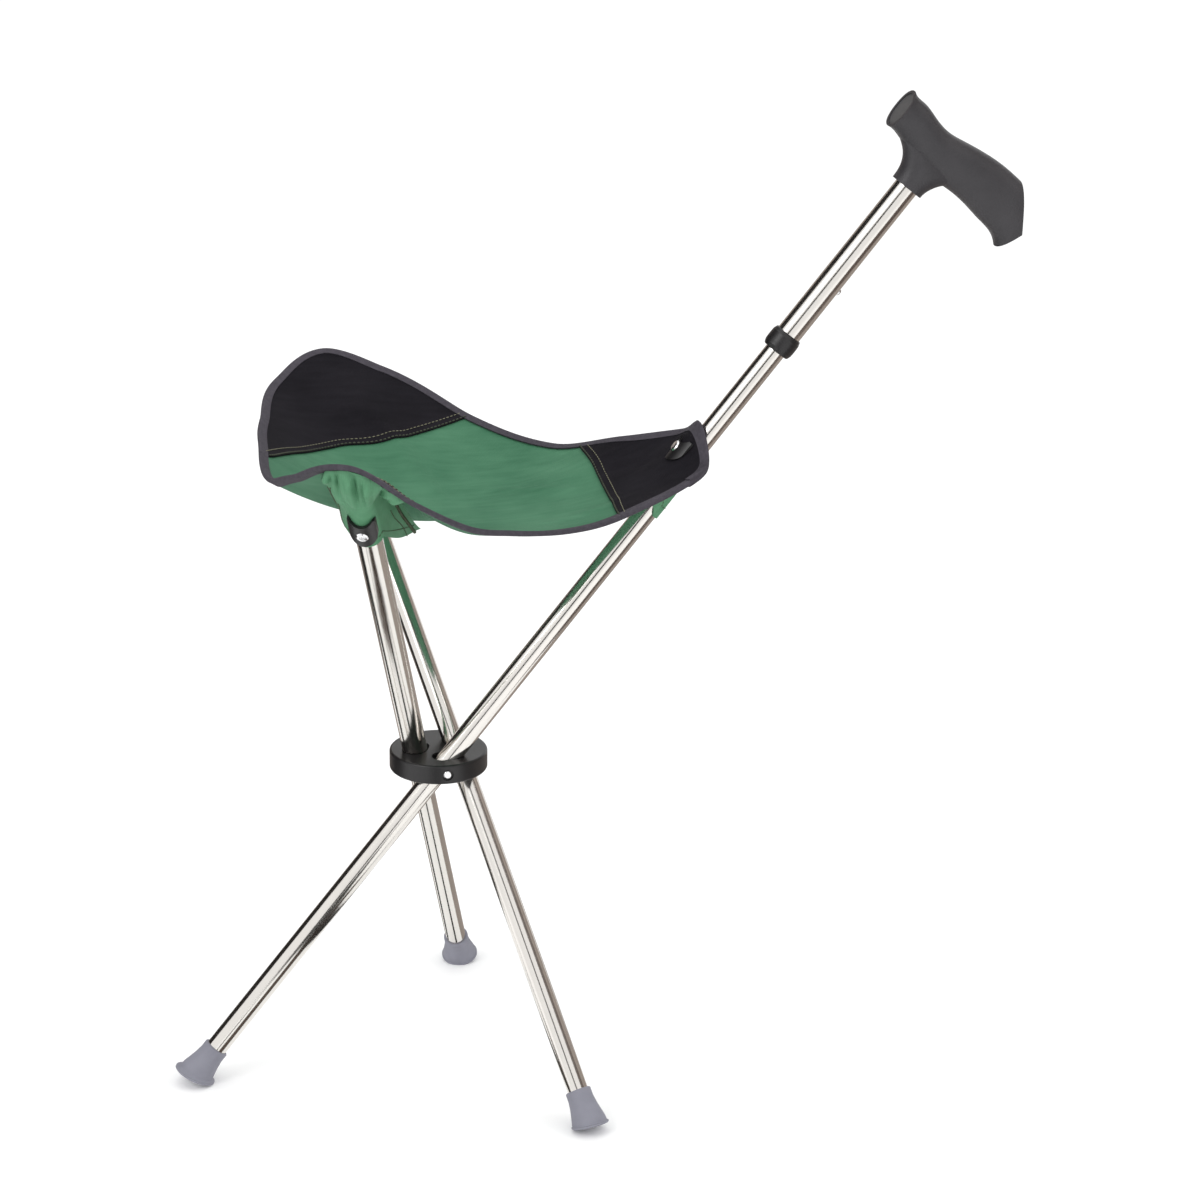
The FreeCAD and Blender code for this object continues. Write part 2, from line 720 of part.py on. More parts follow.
def plate(inner, low, length, side):
    """A curved plate with a round lower end and a hollowed upper edge."""
    shell = ring(inner + PLATE_T, inner, low, low + length)
    half = (inner + PLATE_T) * math.sin(math.radians(PLATE_HALF_ANGLE))
    depth = 2 * inner + PLATE_ROOM
    hollow = half * PLATE_NOTCH_SHARE
    outline = Part.makeBox(2 * half, depth, length - half, vec(-half, 0, low + half))
    outline = outline.fuse(across(half, 0, depth, low + half))
    outline = outline.cut(across(hollow, 0, depth, low + length + hollow - PLATE_NOTCH))
    shape = shell.common(outline)
    if side < 0:
        shape.rotate(vec(0, 0, 0), vec(0, 0, 1), 180)
    return shape


def drop_shell(inner, thick, tails, low, high):
    """A cloth sleeve round a tube, drawn out to one or two tail points."""

    def prism(radius, extra, low, high):
        shape = cyl(radius, low, high)
        for x, y in tails:
            size = math.hypot(x, y)
            ux, uy = x / size, y / size
            lean = math.acos(min(1.0, radius / (size + extra)))
            a = math.atan2(uy, ux)
            p = vec(ux * (size + extra), uy * (size + extra), low)
            q = vec(radius * math.cos(a + lean), radius * math.sin(a + lean), low)
            r = vec(radius * math.cos(a - lean), radius * math.sin(a - lean), low)
            wedge = Part.Face(Part.makePolygon([vec(0, 0, low), r, p, q, vec(0, 0, low)]))
            shape = shape.fuse(wedge.extrude(vec(0, 0, high - low)))
        return shape

    outer = prism(inner + thick, thick * POCKET_TAIL_ROUND, low, high)
    return outer.cut(prism(inner, 0, low - CUT_PAST, high + CUT_PAST))


def make_pocket(leg, radius, above, inside):
    """Cloth pocket under a corner: closed by the seat, open at its slanted hem."""
    tail = POCKET_TAIL[0]
    top = POCKET_LOW + POCKET_LENGTH
    shell = drop_shell(radius + FIT_GAP, POCKET_T, [POCKET_TAIL], POCKET_LOW, top)
    line = [
        (POCKET_ROOM, POCKET_LOW - POCKET_UNDER),
        (POCKET_ROOM, POCKET_LOW),
        (0, POCKET_LOW),
        (2 * tail, POCKET_LOW + 2 * POCKET_HEM_RISE),
        (2 * tail, POCKET_LOW - POCKET_UNDER),
        (POCKET_ROOM, POCKET_LOW - POCKET_UNDER),
    ]
    hem = Part.makePolygon([vec(x, -POCKET_ROOM, z) for x, z in line])
    shell = shell.cut(Part.Face(hem).extrude(vec(0, 2 * POCKET_ROOM, 0)))
    return leg.place(shell).cut(above).common(inside)


def largest(shape):
    return max(shape.Solids, key=lambda s: s.Volume)


def make_cloth():
    """Seat panel, corner patches, edge binding, pockets and the rear sleeve."""
    panel_block = layer(-CLOTH_T, 0)
    outline = rim_prism(0)
    panel = panel_block.common(outline)
    patch_block = layer(CLOTH_GAP, CLOTH_GAP + PATCH_T).common(outline)
    patches = {
        "patch_a": patch_block.common(seam_side(PATCH_A_SEAM, CORNER_A)),
        "patch_b": patch_block.common(seam_side(PATCH_B_SEAM, CORNER_B)),
        "patch_rear": patch_block.common(seam_side(PATCH_REAR_SEAM, NOSE)),
    }
    band = rim_prism(BINDING_LAP).cut(rim_prism(BINDING_LAP - BINDING_WIDTH))
    under, over = -CLOTH_T - CLOTH_GAP, PATCH_T + 2 * CLOTH_GAP
    band = layer(under - BINDING_T, over + BINDING_T).common(band)
    binding = band.cut(layer(under, over).common(rim_prism(CLOTH_GAP)))
    above = layer(under - BINDING_T - CLOTH_GAP, BEYOND)
    inside = rim_prism(-POCKET_INSET)
    wide = make_pocket(LEG_A, WIDE_R, above, inside)
    slim = make_pocket(LEG_B, TUBE_R, above, inside)
    tails = [(-SLEEVE_SPREAD, -SLEEVE_DEPTH), (SLEEVE_SPREAD, -SLEEVE_DEPTH)]
    sleeve = drop_shell(TUBE_R + FIT_GAP, POCKET_T, tails, SLEEVE_LOW, SLEEVE_HIGH)
    sleeve = STICK.place(sleeve).cut(above).common(inside)
    parts = {"seat_panel": panel, "seat_binding": binding}
    parts.update(patches)
    parts.update({"pocket_a": wide, "pocket_b": slim, "rear_sleeve": sleeve})
    return {name: largest(shape) for name, shape in parts.items()}


def build():
    nodes = {}
    nodes["hub_body"] = make_hub()
    nodes["pivot_pins"] = Part.makeCompound([pivot_pin(leg) for leg in (STICK, LEG_A, LEG_B)])

    foot_floor = FOOT_BASE + LIP_T
    stick_tube = tube(-STICK_SOLE + foot_floor, STICK_TOP)
    stick_tube = stick_tube.cut(across(BUTTON_R + BUTTON_HOLE_GAP, 0, 2 * TUBE_R, BUTTON_AT))
    rear_rivet_at = REAR_PLATE_LOW + RIVET_UP
    rear_room = rivet_room(TUBE_R, rear_rivet_at, -1)
    nodes["stick_tube"] = STICK.place(stick_tube.cut(rear_room))
    nodes["stick_foot"] = on_floor(STICK.place(foot(STICK_SOLE, STICK_LIP_R)))
    nodes["stick_guide"] = STICK.place(make_guide())
    nodes["snap_spring"] = STICK.place(make_spring())
    nodes["snap_button"] = STICK.place(make_button())
    nodes["handle_tube"] = STICK.place(make_handle_tube())
    nodes["handle_collar"] = STICK.place(make_collar())
    nodes["handle_grip"] = STICK.place(make_grip())
    nodes["grip_nose_cap"] = STICK.place(make_nose_cap())
    nodes["grip_plug"] = STICK.place(make_plug())

    cloth = make_cloth()
    for name, leg, sole, top, radius in (
        ("leg_a", LEG_A, LEG_A_SOLE, LEG_A_TOP, WIDE_R),
        ("leg_b", LEG_B, LEG_B_SOLE, LEG_B_TOP, TUBE_R),
    ):
        skin = radius + FIT_GAP + POCKET_T + CLOTH_GAP
        at = LEG_PLATE_LOW + RIVET_UP
        room = rivet_room(skin, at, 1)
        nodes[name + "_tube"] = leg.place(tube(-sole + foot_floor, top).cut(room))
        if radius > TUBE_R:
            wide = ring(radius, TUBE_R, LEG_SLEEVE_START, top).cut(room)
            nodes[name + "_sleeve"] = leg.place(wide)
        nodes[name + "_foot"] = on_floor(leg.place(foot(sole, LEG_LIP_R)))
        nodes[name + "_cap"] = leg.place(tube_cap(radius, top, TUBE_R - TUBE_WALL))
        nodes[name + "_plate"] = leg.place(plate(skin, LEG_PLATE_LOW, LEG_PLATE_LENGTH, 1).cut(room))
        nodes[name + "_rivet"] = leg.place(rivet(skin + PLATE_T, at, 1))
        pocket = "pocket" + name[-2:]
        cloth[pocket] = largest(cloth[pocket].cut(leg.place(room)))

    rear_cut = STICK.place(rear_room)
    under = layer(-REAR_PLATE_UNDER, PATCH_T + 2 * CLOTH_GAP)
    rear_plate = plate(REAR_PLATE_R, REAR_PLATE_LOW, REAR_PLATE_LENGTH, -1)
    rear_plate = STICK.place(rear_plate).cut([under, rear_cut])
    nodes["rear_plate"] = largest(rear_plate)
    nodes["rear_rivet"] = STICK.place(rivet(REAR_PLATE_R + PLATE_T, rear_rivet_at, -1))
    for name in ("seat_panel", "patch_rear", "rear_sleeve"):
        cloth[name] = largest(cloth[name].cut(rear_cut))
    nodes.update(cloth)
    return nodes


os.makedirs("parts", exist_ok=True)
for name, shape in build().items():
    shape.exportStep("parts/" + name + ".step")
    print(name, len(shape.Solids), round(shape.Volume, 1), shape.isValid())
print("hub", [round(v, 3) for v in HUB])
for name, leg in (("stick", STICK), ("leg_a", LEG_A), ("leg_b", LEG_B)):
    print(name, "pivot", [round(v, 3) for v in leg.pivot], "pin", [round(v, 6) for v in leg.pin],
          "along", [round(v, 6) for v in leg.along], "side", [round(v, 6) for v in leg.side])
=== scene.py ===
import math
from bisect import bisect_right

import bmesh
import bpy
from mathutils import Matrix, Vector


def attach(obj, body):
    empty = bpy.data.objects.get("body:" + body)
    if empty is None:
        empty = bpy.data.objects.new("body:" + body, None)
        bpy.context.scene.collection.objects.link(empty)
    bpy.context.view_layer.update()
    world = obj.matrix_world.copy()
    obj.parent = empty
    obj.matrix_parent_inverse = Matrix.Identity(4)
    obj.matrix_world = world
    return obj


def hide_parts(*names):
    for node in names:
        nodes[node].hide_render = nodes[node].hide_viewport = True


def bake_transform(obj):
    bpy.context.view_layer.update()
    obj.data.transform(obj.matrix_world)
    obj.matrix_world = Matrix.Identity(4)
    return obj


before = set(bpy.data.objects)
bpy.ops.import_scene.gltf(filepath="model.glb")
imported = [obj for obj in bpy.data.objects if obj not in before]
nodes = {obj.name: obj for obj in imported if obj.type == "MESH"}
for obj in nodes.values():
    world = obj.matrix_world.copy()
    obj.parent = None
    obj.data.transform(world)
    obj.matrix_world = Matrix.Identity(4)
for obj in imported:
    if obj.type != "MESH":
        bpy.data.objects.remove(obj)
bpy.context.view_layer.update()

# Studio: a plain pale floor, soft light from large panels, and dark and grey cards
# that polished tubes mirror as long stripes. The camera stands where the
# photograph was taken from.
FLOOR_REACH = 30.0
FLOOR_COLOR = (0.98, 0.98, 0.98, 1)
HUB_CENTRE = Vector((0.17993, 0.017, 0.245))
# Angles in radians; the camera looks at a point beside and above the hub
VIEW_TURN = 0.229603
VIEW_DROP = 0.357420
VIEW_ROLL = 0.009548
VIEW_DISTANCE = 3.1466
VIEW_ASIDE = 0.12202
VIEW_ABOVE = 0.11844
LENS = 124.93


def links(tree, *pairs):
    for out, into in pairs:
        tree.links.new(out, into)


def new_object(name, mesh):
    made = bpy.data.objects.new(name, mesh)
    bpy.context.scene.collection.objects.link(made)
    return made


def finished(name, bm, material, smooth=True):
    """The piece's bmesh as an object with its material."""
    mesh = bpy.data.meshes.new(name)
    bm.to_mesh(mesh)
    bm.free()
    mesh.materials.append(material)
    mesh.polygons.foreach_set("use_smooth", [smooth] * len(mesh.polygons))
    return new_object(name, mesh)


def principled(name):
    material = bpy.data.materials.new(name)
    material.use_nodes = True
    tree = material.node_tree
    return material, tree, tree.nodes["Principled BSDF"]


def make_floor():
    paper, _, shader = principled("floor_paper")
    shader.inputs["Base Color"].default_value = FLOOR_COLOR
    shader.inputs["Roughness"].default_value = 0.9
    shader.inputs["Specular IOR Level"].default_value = 0.0
    bm = bmesh.new()
    bmesh.ops.create_grid(bm, x_segments=1, y_segments=1, size=FLOOR_REACH)
    floor = finished("floor", bm, paper)


def make_camera():
    turn, drop = VIEW_TURN, VIEW_DROP
    forward = Vector((
        math.sin(turn) * math.cos(drop),
        math.cos(turn) * math.cos(drop),
        -math.sin(drop),
    ))
    right = Vector((math.cos(turn), -math.sin(turn), 0))
    up = right.cross(forward)
    c, s = math.cos(VIEW_ROLL), math.sin(VIEW_ROLL)
    right, up = right * c + up * s, up * c - right * s
    target = HUB_CENTRE + right * VIEW_ASIDE + up * VIEW_ABOVE
    data = bpy.data.cameras.new("camera")
    data.lens = LENS
    data.sensor_width = 36
    data.clip_end = 100
    camera = new_object("camera", data)
    turned = Matrix((right, up, -forward)).transposed().to_4x4()
    camera.matrix_world = Matrix.Translation(target - forward * VIEW_DISTANCE) @ turned
    bpy.context.scene.camera = camera


# Cards that only mirrors see, so that the tubes show long stripes. The wide ones
# run out over the floor round the hub and then stand upright. The near ones lie
# flat round the floor points of two tubes, which mirror the floor beside them.
CARD_BLACK = (0.012, 0.010, 0.009, 1)
CARD_BROWN = (0.085, 0.062, 0.052, 1)
CARD_GREY = (0.30, 0.26, 0.235, 1)
# First and last direction in degrees, shade
WIDE_CARDS = (
    (84, 112, CARD_GREY),
    (112, 170, CARD_BLACK),
    (245, 256, CARD_BLACK),
    (312, 346, CARD_BROWN),
    (346, 388, CARD_GREY),
)
LEG_A_STANDS = Vector((0.2275, 0.176, 0))
STICK_STANDS = Vector((-0.018, 0, 0))
# Centre, reach, first and last direction in degrees, shade
NEAR_CARDS = (
    (LEG_A_STANDS, 1.1, 96, 140, CARD_GREY),
    (LEG_A_STANDS, 1.1, 160, 188, CARD_BLACK),
    (LEG_A_STANDS, 1.1, 252, 264, CARD_BLACK),
    (LEG_A_STANDS, 1.1, 318, 425, CARD_GREY),
    (STICK_STANDS, 0.30, 264, 274, CARD_BLACK),
    (STICK_STANDS, 0.30, 302, 334, CARD_BROWN),
)
CARD_NEAR = 0.42
CARD_FAR = 2.6
CARD_HIGH = 4.2
CARD_LIFT = 0.002
NEAR_CARD_START = 0.02
NEAR_CARD_HIGH = 0.003
CARD_TURN = 16
# Name, place, width, power
PANELS = (
    ("panel_left", (-2.2, -1.6, 2.6), 1.6, 26),
    ("panel_right", (2.6, -1.4, 2.2), 1.4, 12),
    ("panel_top", (0.3, 0.2, 3.4), 2.4, 14),
)
LIT_POINT = Vector((0.2, 0.0, 0.4))
SKY = 1.03


def make_card(name, centre, first, last, near, far, high, color):
    """A wedge laid on the floor from near to far and then stood up to a height."""
    paint, _, shader = principled(name)
    shader.inputs["Base Color"].default_value = color
    shader.inputs["Roughness"].default_value = 1.0
    bm = bmesh.new()
    steps = math.ceil((last - first) / CARD_TURN)
    bmesh.ops.create_grid(bm, x_segments=steps, y_segments=2, size=0.5)
    for v in bm.verts:
        angle = math.radians(first + (last - first) * (v.co.x + 0.5))
        row = round(v.co.y * 2)
        reach = near if row < 0 else far
        height = high if row > 0 else CARD_LIFT
        v.co = centre + Vector((reach * math.cos(angle), reach * math.sin(angle), height))
    card = finished(name, bm, paint, False)
    card.visible_camera = card.visible_diffuse = card.visible_shadow = False


def make_cards():
    centre = Vector((HUB_CENTRE.x, HUB_CENTRE.y, 0))
    for i, (first, last, color) in enumerate(WIDE_CARDS):
        name = "wide_card_%d" % i
        make_card(name, centre, first, last, CARD_NEAR, CARD_FAR, CARD_HIGH, color)
    for i, (foot, far, first, last, color) in enumerate(NEAR_CARDS):
        name = "near_card_%d" % i
        make_card(name, foot, first, last, NEAR_CARD_START, far, NEAR_CARD_HIGH, color)


def make_light():
    world = bpy.data.worlds.new("studio")
    bpy.context.scene.world = world
    world.use_nodes = True
    world.node_tree.nodes["Background"].inputs["Color"].default_value = (SKY, SKY, SKY, 1)
    for name, place, size, power in PANELS:
        light = bpy.data.lights.new(name, "AREA")
        light.size = size
        light.energy = power
        lamp = new_object(name, light)
        turned = (LIT_POINT - Vector(place)).to_track_quat("-Z", "Y").to_matrix().to_4x4()
        lamp.matrix_world = Matrix.Translation(place) @ turned
    bpy.context.scene.view_settings.view_transform = "Standard"


make_floor()
make_camera()
make_cards()
make_light()


# Tubes: thin steel tube, polished and nickel bright, with a very fine grain and
# faint clouds of wear. The stick, both legs, the slide tube and the short outer
# sleeve on one leg share the finish.
STEEL_COLOR = (0.80, 0.77, 0.73)
STEEL_ROUGH = 0.13
STEEL_GRAIN = 900.0
STEEL_GRAIN_DEPTH = 0.00002
# Wear takes the colour down to this share, and the roughness between these shares
WEAR_SHADE = 0.93
WEAR_ROUGH = (0.75, 1.35)


def node(tree, kind, **values):
    made = tree.nodes.new("ShaderNode" + kind)
    for key, value in values.items():
        if key in made.inputs:
            made.inputs[key].default_value = value
        else:
            setattr(made, key, value)
    return made


def spread(tree, source, low, high):
    """A 0 to 1 value brought to the range low to high."""
    made = node(tree, "MapRange")
    made.inputs["To Min"].default_value = low
    made.inputs["To Max"].default_value = high
    links(tree, (source, made.inputs["Value"]))
    return made.outputs["Result"]


def two_tone(tree, source, dark, light):
    made = node(tree, "Mix", data_type="RGBA")
    made.inputs["A"].default_value = (*dark, 1)
    made.inputs["B"].default_value = (*light, 1)
    links(tree, (source, made.inputs["Factor"]))
    return made.outputs["Result"]


def bumped(tree, shader, source, depth, strength):
    made = node(tree, "Bump", Distance=depth, Strength=strength)
    links(
        tree,
        (source, made.inputs["Height"]),
        (made.outputs["Normal"], shader.inputs["Normal"]),
    )


def object_noise(tree, scale, detail, stretch=(1, 1, 1)):
    where = node(tree, "TexCoord")
    place = node(tree, "Mapping", Scale=stretch)
    grain = node(tree, "TexNoise", Scale=scale, Detail=detail)
    links(
        tree,
        (where.outputs["Object"], place.inputs["Vector"]),
        (place.outputs["Vector"], grain.inputs["Vector"]),
    )
    return grain.outputs["Fac"]


def make_steel(name, color, rough):
    material, tree, shader = principled(name)
    shader.inputs["Metallic"].default_value = 1.0
    wear = object_noise(tree, scale=60.0, detail=4.0)
    grain = object_noise(tree, scale=STEEL_GRAIN, detail=2.0)
    dim = tuple(c * WEAR_SHADE for c in color)
    low, high = WEAR_ROUGH
    links(
        tree,
        (two_tone(tree, wear, dim, color), shader.inputs["Base Color"]),
        (spread(tree, wear, rough * low, rough * high), shader.inputs["Roughness"]),
    )
    bumped(tree, shader, grain, depth=STEEL_GRAIN_DEPTH, strength=0.35)
    return material


def coat(name, material):
    """Gives a carried-over CAD node its finish."""
    mesh = nodes[name].data
    mesh.materials.clear()
    mesh.materials.append(material)


polished_steel = make_steel("polished_steel", STEEL_COLOR, STEEL_ROUGH)
for name in ("stick_tube", "leg_a_tube", "leg_b_tube", "leg_a_sleeve", "handle_tube"):
    coat(name, polished_steel)


# Pins, rivets and snap button: turned steel with domed bright heads. They are
# pressed through the hub, the corner plates and the tubes. The button's leaf
# spring is duller strip steel.
RIVET_COLOR = (0.86, 0.86, 0.87)
RIVET_ROUGH = 0.16
SPRING_COLOR = (0.45, 0.45, 0.46)
SPRING_ROUGH = 0.35
rivet_steel = make_steel("rivet_steel", RIVET_COLOR, RIVET_ROUGH)
for name in ("pivot_pins", "leg_a_rivet", "leg_b_rivet", "rear_rivet", "snap_button"):
    coat(name, rivet_steel)
coat("snap_spring", make_steel("spring_steel", SPRING_COLOR, SPRING_ROUGH))


# Hub, collar and corner plates: black moulded plastic with a soft gloss, a very
# fine orange-peel skin and slightly duller, dusty patches from handling.
HUB_COLOR = (0.0055, 0.0050, 0.0055)
HUB_WORN = (0.015, 0.014, 0.015)
WORN_ROUGHER = 0.12


def make_plastic(name, dark, light, rough, grain_scale, grain_depth):
    """Moulded plastic or rubber, clouded between two tones, with a fine grain."""
    material, tree, shader = principled(name)
    clouds = object_noise(tree, scale=45.0, detail=5.0)
    grain = object_noise(tree, grain_scale, detail=2.0)
    links(
        tree,
        (two_tone(tree, clouds, dark, light), shader.inputs["Base Color"]),
        (spread(tree, clouds, rough, rough + WORN_ROUGHER), shader.inputs["Roughness"]),
    )
    bumped(tree, shader, grain, grain_depth, strength=0.6)
    return material


hub_plastic = make_plastic(
    "hub_plastic", HUB_COLOR, HUB_WORN, rough=0.3, grain_scale=1500.0, grain_depth=0.00006
)
for name in ("hub_body", "handle_collar", "leg_a_plate", "leg_b_plate", "rear_plate"):
    coat(name, hub_plastic)


# Plugs and caps in the tube ends: plain dark plastic with a coarser grain, partly
# or wholly hidden in the tubes.
GUIDE_DARK = (0.02, 0.02, 0.02)
GUIDE_LIGHT = (0.04, 0.04, 0.04)
guide_plastic = make_plastic(
    "guide_plastic", GUIDE_DARK, GUIDE_LIGHT, rough=0.5, grain_scale=900.0, grain_depth=0.0001
)
for name in ("stick_guide", "grip_plug", "leg_a_cap", "leg_b_cap"):
    coat(name, guide_plastic)


# Grip: a moulded handle in charcoal plastic with a fine leathery grain and duller
# patches from the palm. Its nose is closed by a lighter oval cap.
GRIP_DARK = (0.020, 0.0185, 0.0215)
GRIP_LIGHT = (0.045, 0.042, 0.047)
grip_plastic = make_plastic(
    "grip_plastic", GRIP_DARK, GRIP_LIGHT, rough=0.40, grain_scale=700.0, grain_depth=0.0004
)
coat("handle_grip", grip_plastic)
CAP_DARK = (0.055, 0.055, 0.057)
CAP_LIGHT = (0.075, 0.075, 0.077)
cap_plastic = make_plastic(
    "cap_plastic", CAP_DARK, CAP_LIGHT, rough=0.4, grain_scale=900.0, grain_depth=0.0001
)
coat("grip_nose_cap", cap_plastic)


# Rubber feet: grey moulded cups pushed on the tube ends, matt with a faint bluish
# cast and clouded with wear.
RUBBER_DARK = (0.165, 0.165, 0.200)
RUBBER_LIGHT = (0.28, 0.28, 0.33)
grey_rubber = make_plastic(
    "grey_rubber", RUBBER_DARK, RUBBER_LIGHT, rough=0.58, grain_scale=420.0, grain_depth=0.0002
)
for name in ("stick_foot", "leg_a_foot", "leg_b_foot"):
    coat(name, grey_rubber)


# Seat cloth: one three-cornered panel of green woven polyester, hung between the
# tube ends and the stick. It is cut in three here along lines from its middle,
# one third at each tube.
MIDDLE = Vector((0.19993, 0.012, 0.442))
# Rim from the nose round by the far, front and near edges: x, y, z, fullness
RIM = (
    (0.3740, 0.0000, 0.5021, 2.30),
    (0.3688, 0.0311, 0.4870, 1.40),
    (0.3320, 0.0589, 0.4748, 1.10),
    (0.2852, 0.0961, 0.4598, 1.00),
    (0.2299, 0.1357, 0.4729, 1.00),
    (0.1688, 0.1815, 0.5022, 0.75),
    (0.1265, 0.2040, 0.5123, 0.50),
    (0.0850, 0.1710, 0.5010, 0.60),
    (0.0628, 0.1005, 0.4933, 0.90),
    (0.0507, 0.0265, 0.4981, 1.00),
    (0.0450, -0.0509, 0.4985, 1.00),
    (0.0526, -0.1104, 0.5192, 0.70),
    (0.0832, -0.1722, 0.5444, 0.50),
    (0.1290, -0.1521, 0.5094, 0.65),
    (0.1747, -0.1292, 0.4791, 0.90),
    (0.2091, -0.1138, 0.4680, 1.00),
    (0.2581, -0.0885, 0.4574, 1.00),
    (0.3076, -0.0584, 0.4566, 1.10),
    (0.3640, -0.0405, 0.4755, 1.25),
    (0.3736, -0.0275, 0.4820, 1.40),
)
# First and last direction in degrees, body, and the corner held by that body
SECTORS = {
    "nose": (-60.0, 60.0, "stick", (0.3450, -0.004)),
    "far": (60.0, 184.0, "leg_b", (0.1290, 0.1840)),
    "near": (184.0, 300.0, "leg_a", (0.1000, -0.1450)),
}
CLOTH_T = 0.0014
UP = Vector((0, 0, 1))
# Soft ridges, and one hollow, where the cloth is drawn tight: ends, half width, height
RIDGES = (
    ((0.215, 0.055), (0.300, 0.012), 0.005, 0.0011),
    ((0.235, -0.040), (0.330, -0.022), 0.006, 0.0010),
    ((0.300, 0.035), (0.360, 0.008), 0.005, -0.0009),
    ((0.130, 0.060), (0.230, -0.010), 0.010, 0.0008),
    ((0.110, -0.120), (0.170, -0.060), 0.008, 0.0012),
    ((0.135, 0.150), (0.185, 0.080), 0.009, 0.0010),
)


def rim_rows():
    rows = []
    for x, y, z, fullness in RIM:
        away = Vector((x, y, z)) - MIDDLE
        rows.append((math.atan2(away.y, away.x) % math.tau, away.xy.length, z, fullness))
    return sorted(rows)


ROWS = rim_rows()
TURNS = [row[0] for row in ROWS]


def rim_at(angle):
    """Reach, height and fullness of the rim in a direction from the middle."""
    count = len(ROWS)
    angle %= math.tau
    i = bisect_right(TURNS, angle) - 1
    near = []
    for k in range(i - 1, i + 3):
        row = ROWS[k % count]
        near.append((row[0] + math.tau * (k // count),) + row[1:])
    (a0, *v0), (a1, *v1), (a2, *v2), (a3, *v3) = near
    span = a2 - a1
    t = (angle - a1) / span
    if t < 0:
        t += math.tau / span
    out = []
    for p0, p1, p2, p3 in zip(v0, v1, v2, v3):
        m1 = (p2 - p0) / (a2 - a0) * span
        m2 = (p3 - p1) / (a3 - a1) * span
        out.append(
            (2 * t**3 - 3 * t**2 + 1) * p1
            + (t**3 - 2 * t**2 + t) * m1
            + (3 * t**2 - 2 * t**3) * p2
            + (t**3 - t**2) * m2
        )
    return out


def ridge_height(x, y):
    height = 0.0
    p = Vector((x, y))
    for a, b, half, rise in RIDGES:
        a, b = Vector(a), Vector(b)
        run = b - a
        t = (p - a).dot(run) / run.length_squared
        off = (p - a - run * t).length / half
        ends = max(0.0, 1 - (2 * t - 1) ** 2)
        height += rise * math.exp(-off * off) * ends
    return height


def cloth_height(x, y):
    dx, dy = x - MIDDLE.x, y - MIDDLE.y
    reach, height, fullness = rim_at(math.atan2(dy, dx))
    part = (dx * dx + dy * dy) / reach**2
    rise = part / (part + fullness * max(0.0, 1 - part))
    return MIDDLE.z + (height - MIDDLE.z) * rise + ridge_height(x, y)


def cloth_point(x, y, lift=0.0):
    return Vector((x, y, cloth_height(x, y) + lift))


def ray_point(angle, reach, lift=0.0):
    """A point of the cloth in a direction and at a distance from the middle."""
    x = MIDDLE.x + reach * math.cos(angle)
    y = MIDDLE.y + reach * math.sin(angle)
    return cloth_point(x, y, lift)


def shaped_grid(across, along, place):
    """A grid whose corner-to-corner shares are placed by a function."""
    bm = bmesh.new()
    bmesh.ops.create_grid(bm, x_segments=across, y_segments=along, size=0.5)
    uv = bm.loops.layers.uv.new("UVMap")
    for v in bm.verts:
        v.co = Vector((round(v.co.x + 0.5, 6), round(v.co.y + 0.5, 6), 0))
    for face in bm.faces:
        for loop in face.loops:
            loop[uv].uv = loop.vert.co.xy
    for v in bm.verts:
        v.co = place(v.co.x, v.co.y)
    bmesh.ops.remove_doubles(bm, verts=bm.verts, dist=1e-6)
    return bm


def faced(bm, way):
    """Turns the faces so that most of them look in a direction."""
    bm.normal_update()
    if sum(f.normal.dot(way) * f.calc_area() for f in bm.faces) < 0:
        bmesh.ops.reverse_faces(bm, faces=bm.faces)
    return bm


def thickened(piece, thickness, offset):
    """Gives a sheet its thickness, with crisp edges where it ends."""
    bm = bmesh.new()
    bm.from_mesh(piece.data)
    for edge in bm.edges:
        if edge.is_boundary:
            edge.smooth = False
    bm.to_mesh(piece.data)
    bm.free()
    wall = piece.modifiers.new("wall", "SOLIDIFY")
    wall.thickness = thickness
    wall.offset = offset
    wall.use_quality_normals = True


def folds_with(piece):
    """Bakes the piece's placement into its mesh."""
    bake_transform(piece)


WEAVE_SCALE = 320.0
WEAVE_DEPTH = 0.0002
# Clouds of dye plus this share of fine streaks come to about this range
STREAK_SHARE = 0.5
CLOUD_RANGE = (0.5, 1.0)
# The gaps between the threads are darkened towards this tone: painted shade in the weave.
GAP_PAINTED_SHADE = (0.55, 0.55, 0.55, 1)


